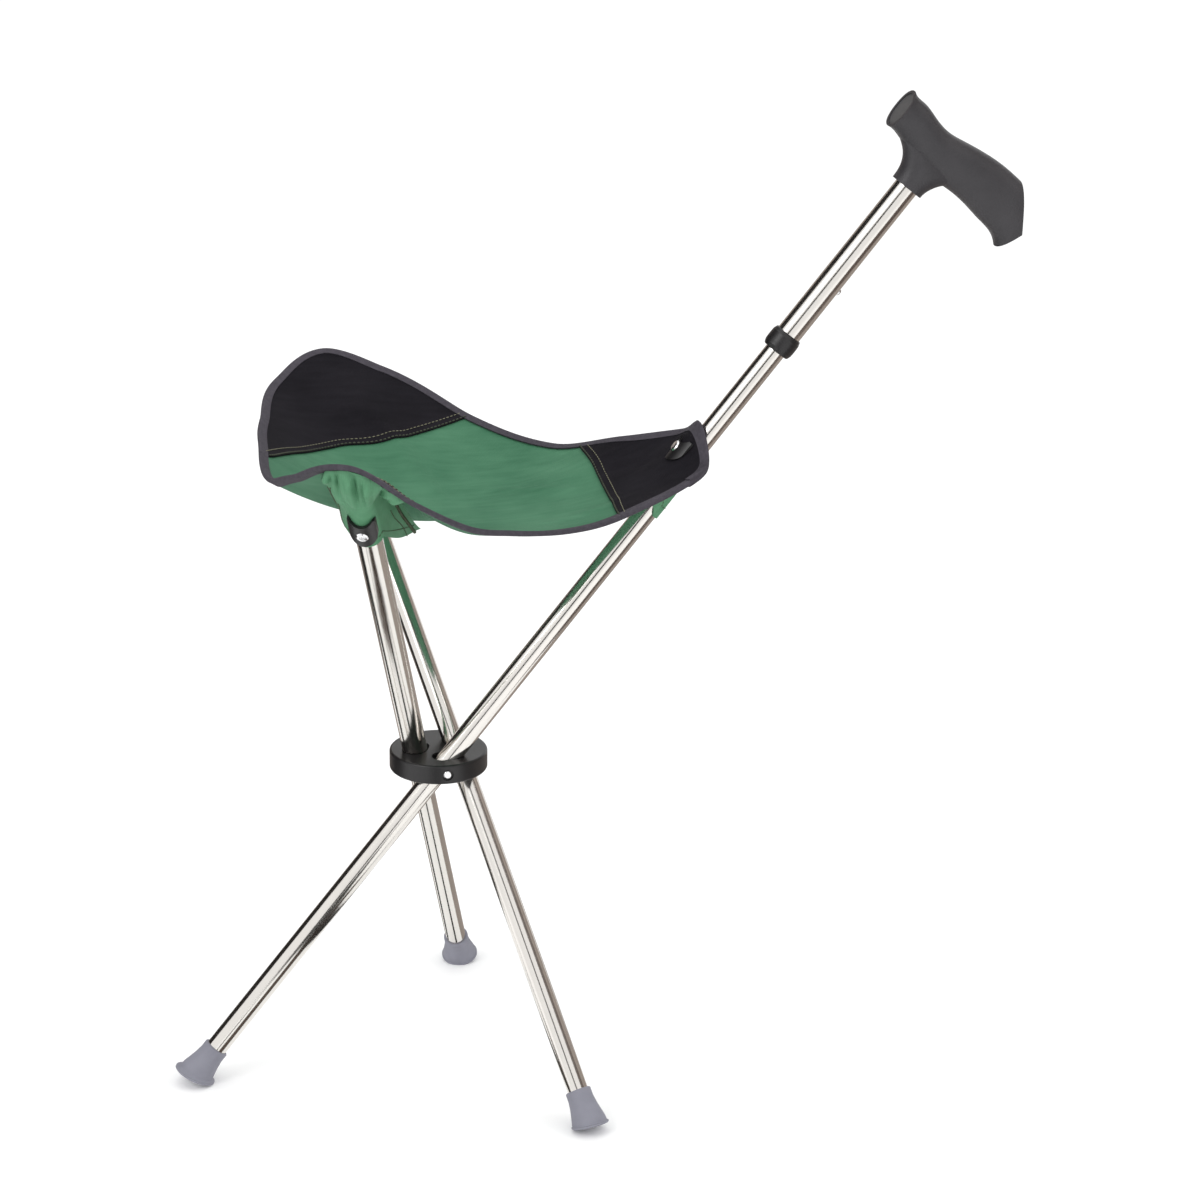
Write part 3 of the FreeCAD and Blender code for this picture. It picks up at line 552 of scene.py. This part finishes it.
def make_cloth_material(name, dark, light, rough, gloss):
    """Plain weave: two crossing sets of fine threads, clouded by wear and dye, with painted shade
    darkening the gaps between them.
    """
    material, tree, shader = principled(name)
    where = node(tree, "TexCoord")
    waves = []
    for turn in (0.0, math.pi / 2):
        place = node(tree, "Mapping", Rotation=(0, 0, turn))
        wave = node(tree, "TexWave", Scale=WEAVE_SCALE, Distortion=0.6, Detail=1.0)
        wave.inputs["Detail Scale"].default_value = 2.0
        links(
            tree,
            (where.outputs["Object"], place.inputs["Vector"]),
            (place.outputs["Vector"], wave.inputs["Vector"]),
        )
        waves.append(wave.outputs["Fac"])
    threads = node(tree, "Math", operation="MAXIMUM")
    links(tree, (waves[0], threads.inputs[0]), (waves[1], threads.inputs[1]))
    clouds = object_noise(tree, scale=22.0, detail=6.0)
    streaks = object_noise(tree, scale=140.0, detail=3.0, stretch=(0.25, 1.6, 1))
    mixed = node(tree, "Math", operation="MULTIPLY_ADD")
    mixed.inputs[1].default_value = STREAK_SHARE
    links(tree, (streaks, mixed.inputs[0]), (clouds, mixed.inputs[2]))
    centred = node(tree, "MapRange")
    centred.inputs["From Min"].default_value = CLOUD_RANGE[0]
    centred.inputs["From Max"].default_value = CLOUD_RANGE[1]
    links(tree, (mixed.outputs[0], centred.inputs["Value"]))
    tone = two_tone(tree, centred.outputs["Result"], dark, light)
    # Painted shade: the gaps between the threads are multiplied darker.
    shade = node(tree, "Mix", data_type="RGBA", blend_type="MULTIPLY", Factor=0.3)
    gap_painted_shade = node(tree, "ValToRGB")
    gap_painted_shade.color_ramp.elements[0].color = GAP_PAINTED_SHADE
    links(
        tree,
        (threads.outputs[0], gap_painted_shade.inputs["Fac"]),
        (tone, shade.inputs["A"]),
        (gap_painted_shade.outputs["Color"], shade.inputs["B"]),
        (shade.outputs["Result"], shader.inputs["Base Color"]),
    )
    bumped(tree, shader, threads.outputs[0], WEAVE_DEPTH, strength=0.5)
    shader.inputs["Roughness"].default_value = rough
    shader.inputs["Specular IOR Level"].default_value = gloss
    return material


GREEN_DARK = (0.039, 0.143, 0.076)
GREEN_LIGHT = (0.072, 0.206, 0.117)
green_cloth = make_cloth_material("green_cloth", GREEN_DARK, GREEN_LIGHT, rough=0.72, gloss=0.2)
SPOKES = 96
RINGS = 60
FIRST_RING = 0.02

for sector, (low, high, *_) in SECTORS.items():
    def place(u, v):
        angle = math.radians(low + (high - low) * u)
        share = FIRST_RING + (1 - FIRST_RING) * v if v > 0 else 0.0
        return ray_point(angle, rim_at(angle)[0] * share)

    bm = faced(shaped_grid(SPOKES, RINGS, place), UP)
    panel = finished("seat_cloth_" + sector, bm, green_cloth)
    thickened(panel, CLOTH_T, -1)
    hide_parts("seat_panel")
    folds_with(panel)


# Corner patches: black woven cloth laid over the green panel at the three
# corners, each turned in along its inner edge and held by two rows of thread.
PATCH_LIFT = 0.0012
PATCH_T = 0.0009
HEM = 0.0068
HEM_RISE = 0.0006
# How softly the turned-in edge steps down, and the share of the grid's rows
# that lie over it and a little past it
HEM_SOFT = 0.0004
HEM_PAST = 1.3
HEM_ROWS = 0.3
PATCH_GRID = (120, 50)
SPAN_STEPS = 480
LINE_STEPS = 24
# Sector and seam, seen from above and drawn past the rim at both ends
PATCHES = {
    "patch_b": ("far", (
        (0.0339, 0.0050), (0.0559, 0.0110), (0.0859, 0.0645), (0.1219, 0.0975),
        (0.1599, 0.1035), (0.1879, 0.1175), (0.2459, 0.1440),
    )),
    "patch_a": ("near", (
        (0.0079, -0.0910), (0.0309, -0.0980), (0.0889, -0.1190), (0.1409, -0.1500),
        (0.1579, -0.1670),
    )),
    "patch_rear": ("nose", (
        (0.2989, 0.1250), (0.3009, 0.0740), (0.3034, 0.0290), (0.3024, -0.0130),
        (0.2999, -0.0470), (0.2969, -0.0950),
    )),
}
BLACK_DARK = (0.0072, 0.0063, 0.0088)
BLACK_LIGHT = (0.0140, 0.0126, 0.0165)
black_cloth = make_cloth_material("black_cloth", BLACK_DARK, BLACK_LIGHT, rough=0.85, gloss=0.1)


def smooth_line(points):
    """Points along a smooth line through the given ones."""
    points = [Vector(p) for p in points]
    points = [points[0] * 2 - points[1], *points, points[-1] * 2 - points[-2]]
    line = []
    for a, b, c, d in zip(points, points[1:], points[2:], points[3:]):
        for i in range(LINE_STEPS):
            t = i / LINE_STEPS
            bend = (a * 2 - b * 5 + c * 4 - d) * t**2
            twist = (b * 3 - a - c * 3 + d) * t**3
            line.append(((b * 2) + (c - a) * t + bend + twist) / 2)
    return line + [points[-2]]


def seam_rows(sector, points):
    """The seam as sorted pairs: direction from the middle and distance."""
    centre = math.radians(sum(SECTORS[sector][:2]) / 2)
    rows = []
    for p in smooth_line(points):
        away = p - MIDDLE.xy
        turn = (math.atan2(away.y, away.x) - centre + math.pi) % math.tau - math.pi
        rows.append((centre + turn, away.length))
    return sorted(rows)


def seam_reach(angle, rows):
    """How far from the middle a seam lies in a direction, or None past the rim."""
    i = bisect_right([row[0] for row in rows], angle)
    if i == 0 or i == len(rows):
        return None
    (a, near), (b, far) = rows[i - 1], rows[i]
    reach = near + (far - near) * (angle - a) / (b - a)
    return reach if reach < rim_at(angle)[0] else None


def seam_span(sector, rows):
    """First and last direction in which the patch reaches past its seam."""
    low, high = (math.radians(a) for a in SECTORS[sector][:2])
    steps = [low + (high - low) * i / SPAN_STEPS for i in range(SPAN_STEPS + 1)]
    inside = [a for a in steps if seam_reach(a, rows) is not None]
    return inside[0], inside[-1]


for name, (sector, points) in PATCHES.items():
    rows = seam_rows(sector, points)
    first, last = seam_span(sector, rows)

    def place(u, v):
        angle = first + (last - first) * u
        rim = rim_at(angle)[0]
        start = seam_reach(angle, rows) or rim
        hem = min(HEM * HEM_PAST, (rim - start) / 2)
        if v < HEM_ROWS:
            past = hem * v / HEM_ROWS
        else:
            past = hem + (rim - start - hem) * (v - HEM_ROWS) / (1 - HEM_ROWS)
        fold = HEM_RISE / (1 + math.exp((past - HEM) / HEM_SOFT))
        return ray_point(angle, start + past, PATCH_LIFT + fold)

    bm = faced(shaped_grid(*PATCH_GRID, place), UP)
    patch = finished(name + "_cloth", bm, black_cloth)
    thickened(patch, PATCH_T, -1)
    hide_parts(name)
    folds_with(patch)


# Thread: a dark overlocked row at each patch's inner edge and a lighter olive
# row beside it. Every stitch is a short rounded dash that sinks into the cloth.
STITCH = 0.0030
STITCH_GAP = 0.0004
# Share of a stitch's radius by which its middle stands above the cloth
STITCH_PROUD = 0.4
# How far from the rim the rows end
ROW_END = 0.004
ROW_STEPS = 160
# Name, inset from the edge, radius, dark and light tone
THREAD_ROWS = (
    ("overlock", 0.0010, 0.00075, (0.020, 0.024, 0.014), (0.060, 0.068, 0.040)),
    ("thread", 0.0062, 0.00042, (0.13, 0.125, 0.075), (0.26, 0.25, 0.17)),
)


def make_thread_material(name, dark, light):
    material, tree, shader = principled(name)
    tone = object_noise(tree, scale=700.0, detail=2.0)
    fibres = object_noise(tree, scale=2500.0, detail=1.0)
    links(tree, (two_tone(tree, tone, dark, light), shader.inputs["Base Color"]))
    shader.inputs["Roughness"].default_value = 0.6
    bumped(tree, shader, fibres, depth=0.0001, strength=0.6)
    return material


def stitches(line, radius):
    """Dashes of thread laid along a line of points, as one mesh."""
    bm = bmesh.new()
    gone = 0.0
    for a, b in zip(line, line[1:]):
        length = (b - a).length
        while gone < length:
            middle = a.lerp(b, gone / length)
            turn = (b - a).to_track_quat("X", "Z").to_matrix().to_4x4()
            made = bmesh.ops.create_icosphere(bm, subdivisions=1, radius=1.0)
            size = Matrix.Diagonal((STITCH / 2, radius, radius, 1))
            bmesh.ops.transform(
                bm, matrix=Matrix.Translation(middle) @ turn @ size, verts=made["verts"]
            )
            gone += STITCH + STITCH_GAP
        gone -= length
    return bm


for kind, inset, radius, dark, light in THREAD_ROWS:
    finish = make_thread_material("olive_" + kind, dark, light)
    lift = PATCH_LIFT + HEM_RISE + radius * STITCH_PROUD
    for name, (sector, points) in PATCHES.items():
        seam = seam_rows(sector, points)
        first, last = seam_span(sector, seam)
        line = []
        for i in range(ROW_STEPS + 1):
            angle = first + (last - first) * i / ROW_STEPS
            reach = (seam_reach(angle, seam) or 1.0) + inset
            if reach < rim_at(angle)[0] - ROW_END:
                line.append(ray_point(angle, reach, lift))
        thread = finished(name + "_" + kind, stitches(line, radius), finish)
        folds_with(thread)


# Binding: a grey-black ribbed tape folded over the raw edge of the whole seat.
# One end lies over the other beside the nose, where a short lap stands higher.
TAPE_T = 0.0009
TAPE_IN = 0.0055
TAPE_OUT = 0.0003
TAPE_UNDER = -0.0017
TAPE_OVER = 0.0015
# How far the tape's fold stands out, as a share of a half circle's
TAPE_FOLD = 0.6
TAPE_DARK = (0.036, 0.032, 0.041)
TAPE_LIGHT = (0.080, 0.072, 0.088)
TAPE_RIBS = 130.0
TAPE_ALONG = 200
TAPE_ACROSS = 16
RIM_STEP = 0.01
LAP = (340.0, 347.0)
LAP_SWELL = 0.0011
LAP_ALONG = 14


def rim_side(angle):
    """A rim point seen from above and the outward direction there."""
    ring = []
    for a in (angle - RIM_STEP, angle, angle + RIM_STEP):
        reach = rim_at(a)[0]
        ring.append(Vector((MIDDLE.x + reach * math.cos(a), MIDDLE.y + reach * math.sin(a))))
    run = ring[2] - ring[0]
    return ring[1], Vector((run.y, -run.x)).normalized()


def tape_point(angle, v, swell):
    """Across the tape: from its lower inner edge, round the rim, to the upper one."""
    rim, out = rim_side(angle)
    turn = (TAPE_OVER - TAPE_UNDER) / 2
    total = 2 * TAPE_IN + math.pi * turn
    at = v * total
    if at < TAPE_IN:
        inset, lift = TAPE_IN - at, TAPE_UNDER
    elif at > total - TAPE_IN:
        inset, lift = at - total + TAPE_IN, TAPE_OVER
    else:
        bend = (at - TAPE_IN) / turn - math.pi / 2
        inset = -math.cos(bend) * turn * TAPE_FOLD
        lift = (TAPE_OVER + TAPE_UNDER) / 2 + math.sin(bend) * turn
    p = rim - out * (inset - TAPE_OUT)
    level = cloth_height(*(rim - out * max(inset, 0.0)))
    push = swell * (1 if lift > 0 else -1)
    return Vector((p.x, p.y, level + lift + push))


def tape_grid(low, high, steps, swell=0.0):
    """A length of tape between two directions, in degrees."""
    def place(u, v):
        return tape_point(math.radians(low + (high - low) * u), v, swell)

    bm = shaped_grid(steps, TAPE_ACROSS, place)
    bmesh.ops.recalc_face_normals(bm, faces=bm.faces)
    return bm


def make_tape_material():
    """Fine ribs across the tape, from its own map: along it and across it."""
    material, tree, shader = principled("binding_tape")
    where = node(tree, "TexCoord")
    place = node(tree, "Mapping", Scale=(TAPE_RIBS, 1, 1))
    ribs = node(tree, "TexWave", Scale=1.0, Distortion=0.3)
    grain = object_noise(tree, scale=260.0, detail=4.0)
    links(
        tree,
        (where.outputs["UV"], place.inputs["Vector"]),
        (place.outputs["Vector"], ribs.inputs["Vector"]),
        (two_tone(tree, grain, TAPE_DARK, TAPE_LIGHT), shader.inputs["Base Color"]),
    )
    bumped(tree, shader, ribs.outputs["Fac"], depth=0.0003, strength=0.6)
    shader.inputs["Roughness"].default_value = 0.75
    shader.inputs["Specular IOR Level"].default_value = 0.2
    return material


binding_tape = make_tape_material()
for sector, (low, high, *_) in SECTORS.items():
    tape = finished("seat_binding_" + sector, tape_grid(low, high, TAPE_ALONG), binding_tape)
    thickened(tape, TAPE_T, 0)
    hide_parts("seat_binding")
    folds_with(tape)

lap = finished("seat_binding_lap", tape_grid(*LAP, LAP_ALONG, LAP_SWELL), binding_tape)
thickened(lap, TAPE_T, 0)
folds_with(lap)


# Corner pockets and rear sleeve: green cloth sewn under the seat along two lines
# beside each tube. It wraps round the outer side of the tube, opens at a hem
# towards the hub, and at the two legs it runs up to the rim and closes the top.
SOCKET_T = 0.0011
SOCKET_UNDER = 0.0006
SOCKET_GRID = (110, 44)
# Distance of the three pins from the hub's middle
PIN_RADIUS = 0.017
# Turn about the hub and tilt from upright, in degrees
TUBES = {"leg_a": (247.5, 34.0), "leg_b": (112.5, 36.5), "stick": (0.0, 39.0)}
TUBE_ENDS = {"leg_a": 0.330, "leg_b": 0.310, "stick": 0.321}
# Tube, radius, hem and top along the tube, then each seam's ends: aside, inward
SOCKETS = {
    "pocket_a": (
        "leg_a", 0.0098, 0.279, 0.324,
        ((0.0335, 0.095), (0.025, -0.001)), ((-0.0128, 0.136), (-0.0148, 0.017)),
    ),
    "pocket_b": (
        "leg_b", 0.0083, 0.281, 0.304,
        ((0.0230, 0.085), (0.020, 0.000)), ((-0.0200, 0.085), (-0.0190, 0.004)),
    ),
    "rear_sleeve": (
        "stick", 0.0083, 0.247, 0.309,
        ((0.0170, 0.052), (0.015, 0.014)), ((-0.0170, 0.052), (-0.015, 0.014)),
    ),
}
# Share of the width from each seam to the tube, how far the cloth hangs out there,
# and its waves: level, radians up and across
SIDE = 0.3
SLACK = 0.0045
SLACK_LEVEL = 0.4
SLACK_UP = 2.5 * math.pi
SLACK_ACROSS = 4.0
HEM_DROOP = {"pocket_a": 0.009, "pocket_b": 0.004, "rear_sleeve": 0.0}
# Directions between which a closed top reaches the rim, how far inside the rim it
# ends, and the share of the height below it
RIM_TURNS = {"pocket_a": (231.8, 245.2), "pocket_b": (117.0, 106.0)}
TOP_INSET = 0.004
TOP_FROM = 0.7
# Gathers of the closed top: depth, half waves across, start; and what they add to
GATHERS = ((0.0034, 6.5, 1.2), (0.0012, 17.0, 0.0))
GATHER_BASE = 0.0030
# Puff of the closed top: widened downwards, and its middle shifted up to the rim
PUFF_WIDE = 0.7
PUFF_SHIFT = 0.35
POCKET_DARK = (0.062, 0.200, 0.100)
POCKET_LIGHT = (0.105, 0.285, 0.155)
pocket_cloth = make_cloth_material("pocket_cloth", POCKET_DARK, POCKET_LIGHT, rough=0.6, gloss=0.3)


def tube_frame(tube):
    """A tube's pivot and the directions of its pin, its outer side and its run."""
    turn, tilt = (math.radians(a) for a in TUBES[tube])
    pin = Vector((math.sin(turn), -math.cos(turn), 0))
    along = Vector((
        math.cos(turn) * math.sin(tilt),
        math.sin(turn) * math.sin(tilt),
        math.cos(tilt),
    ))
    return HUB_CENTRE + pin * PIN_RADIUS, pin, along.cross(pin), along


def slack_at(at, u, v):
    """How far the cloth hangs out, in soft waves, between the tube and a seam."""
    wave = SLACK_LEVEL + (1 - SLACK_LEVEL) * math.sin(SLACK_UP * v + SLACK_ACROSS * u)
    return SLACK * math.sin(math.pi * at) ** 2 * wave


def droop_share(at, v):
    """How much of its droop a pocket has: most at the hem, two thirds out to a seam."""
    return (1 - v) ** 2 * math.sin(math.pi * min(1.0, at * 1.2) / 1.6)


def gathers_at(u, share):
    """How far the closed top stands out, gathered across and puffed."""
    folds = GATHER_BASE
    for depth, waves, start in GATHERS:
        folds += depth * math.sin(u * waves * math.pi + start)
    puff = math.sin(math.pi * share**PUFF_WIDE) - PUFF_SHIFT * math.sin(2 * math.pi * share)
    return folds * puff


def socket_shape(name):
    """A function from shares across and up the pocket to its surface."""
    leg, radius, low, high, left, right = SOCKETS[name]
    pivot, pin, side, along = tube_frame(leg)
    end = pivot + along * TUBE_ENDS[leg]
    inward = -Vector((along.x, along.y, 0)).normalized()
    under = -CLOTH_T - SOCKET_UNDER

    def seam(ends, v):
        """A seam point under the cloth, in the tube's own directions."""
        aside = ends[0][0] + (ends[1][0] - ends[0][0]) * v
        back = ends[0][1] + (ends[1][1] - ends[0][1]) * v
        p = end + pin * aside + inward * back
        away = cloth_point(p.x, p.y, under) - pivot
        return away.dot(pin), away.dot(side), away.dot(along)

    def leave(x, y, sign):
        """The direction in which cloth from a seam point first touches the tube."""
        size = max(math.hypot(x, y), radius * 1.001)
        return math.atan2(y, x) + sign * math.acos(radius / size)

    def section(u, v):
        """From the left seam to the tube, round it, and on to the right seam."""
        start, stop = seam(left, v), seam(right, v)
        first = leave(start[0], start[1], 1)
        last = leave(stop[0], stop[1], -1) % math.tau
        if u < SIDE:
            at, p, around = 1 - u / SIDE, start, first
        elif u > 1 - SIDE:
            at, p, around = (u - (1 - SIDE)) / SIDE, stop, last
        else:
            at, p = 0.0, (0, 0, 0)
            around = first + (last - first) * (u - SIDE) / (1 - 2 * SIDE)
        q = (radius * math.cos(around), radius * math.sin(around), low + (high - low) * v)
        x, y, h = (a + (b - a) * at for a, b in zip(q, p))
        if u > 1 - SIDE:
            h -= HEM_DROOP[name] * droop_share(at, v)
        return pivot + pin * x + side * (y + slack_at(at, u, v)) + along * h

    def place(u, v):
        if name not in RIM_TURNS:
            return section(u, v)
        if v <= TOP_FROM:
            return section(u, v / TOP_FROM)
        first, last = RIM_TURNS[name]
        angle = math.radians(first + (last - first) * u)
        rim = ray_point(angle, rim_at(angle)[0] - TOP_INSET, under)
        share = (v - TOP_FROM) / (1 - TOP_FROM)
        return section(u, 1.0).lerp(rim, share) + side * gathers_at(u, share)

    return place


for name, (leg, *_) in SOCKETS.items():
    bm = shaped_grid(*SOCKET_GRID, socket_shape(name))
    bmesh.ops.recalc_face_normals(bm, faces=bm.faces)
    socket = finished(name + "_cloth", faced(bm, tube_frame(leg)[2]), pocket_cloth)
    thickened(socket, SOCKET_T, 1)
    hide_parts(name)
    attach(socket, leg)


# Seams of the pockets: thread rows down both sides and along the hem, with a
# thick overlocked edge on the right side of pocket_a and of the rear sleeve. The thick
# dark row on pocket_a's right side is a seam and also painted shadow of the fold beside it.
# Name, pocket, share across at its low and high end, first and last share up, radius
POCKET_SEAMS = (
    ("a_left_outer", "pocket_a", 0.012, 0.012, 0.0, 0.52, 0.0006),
    ("a_left_inner", "pocket_a", 0.115, 0.105, 0.0, 0.78, 0.0006),
    # Painted shadow: this thick dark row is a seam and also the shade of the fold beside it.
    ("a_right_edge_and_painted_shadow", "pocket_a", 0.940, 0.940, 0.0, 0.44, 0.0015),
    ("a_right_inner", "pocket_a", 0.880, 0.880, 0.0, 0.44, 0.0005),
    ("b_left", "pocket_b", 0.030, 0.030, 0.0, 0.62, 0.0006),
    ("b_right", "pocket_b", 0.970, 0.970, 0.0, 0.62, 0.0006),
    ("rear_left", "rear_sleeve", 0.040, 0.040, 0.0, 1.0, 0.0006),
    ("rear_right", "rear_sleeve", 0.960, 0.960, 0.0, 1.0, 0.0010),
)
SEAM_STEPS = 120
SEAM_PROUD = 0.3
SURFACE_STEP = 0.004
# Share up of each hem row, how far from the sides it ends, and its radius
HEM_AT = {"pocket_a": 0.10, "pocket_b": 0.16, "rear_sleeve": 0.16}
HEM_ENDS = 0.02
HEM_RADIUS = 0.0004
# This dark thread tone also gives the painted shadow of the fold along pocket_a's right seam.
SEAM_DARK = (0.022, 0.034, 0.016)
SEAM_LIGHT = (0.070, 0.090, 0.040)
seam_thread_and_shadow = make_thread_material("seam_thread_and_shadow", SEAM_DARK, SEAM_LIGHT)


def outer_row(name, pocket, points, radius):
    """A row of stitches on the outer face of a pocket, riding with its tube."""
    place = socket_shape(pocket)
    leg = SOCKETS[pocket][0]
    side = tube_frame(leg)[2]
    line = []
    for u, v in points:
        left, right = max(u - SURFACE_STEP, 0.0), min(u + SURFACE_STEP, 1.0)
        low, high = max(v - SURFACE_STEP, 0.0), min(v + SURFACE_STEP, 1.0)
        out = (place(right, v) - place(left, v)).cross(place(u, high) - place(u, low)).normalized()
        if out.dot(side) < 0:
            out = -out
        line.append(place(u, v) + out * (SOCKET_T + radius * SEAM_PROUD))
    row = finished(name, stitches(line, radius), seam_thread_and_shadow)
    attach(row, leg)


for name, pocket, low_u, high_u, low_v, high_v, radius in POCKET_SEAMS:
    shares = [i / SEAM_STEPS for i in range(SEAM_STEPS + 1)]
    points = [(low_u + (high_u - low_u) * t, low_v + (high_v - low_v) * t) for t in shares]
    outer_row("seam_" + name, pocket, points, radius)
for pocket, up in HEM_AT.items():
    shares = [i / ROW_STEPS for i in range(ROW_STEPS + 1)]
    points = [(HEM_ENDS + (1 - 2 * HEM_ENDS) * t, up) for t in shares]
    outer_row("hem_" + pocket, pocket, points, HEM_RADIUS)
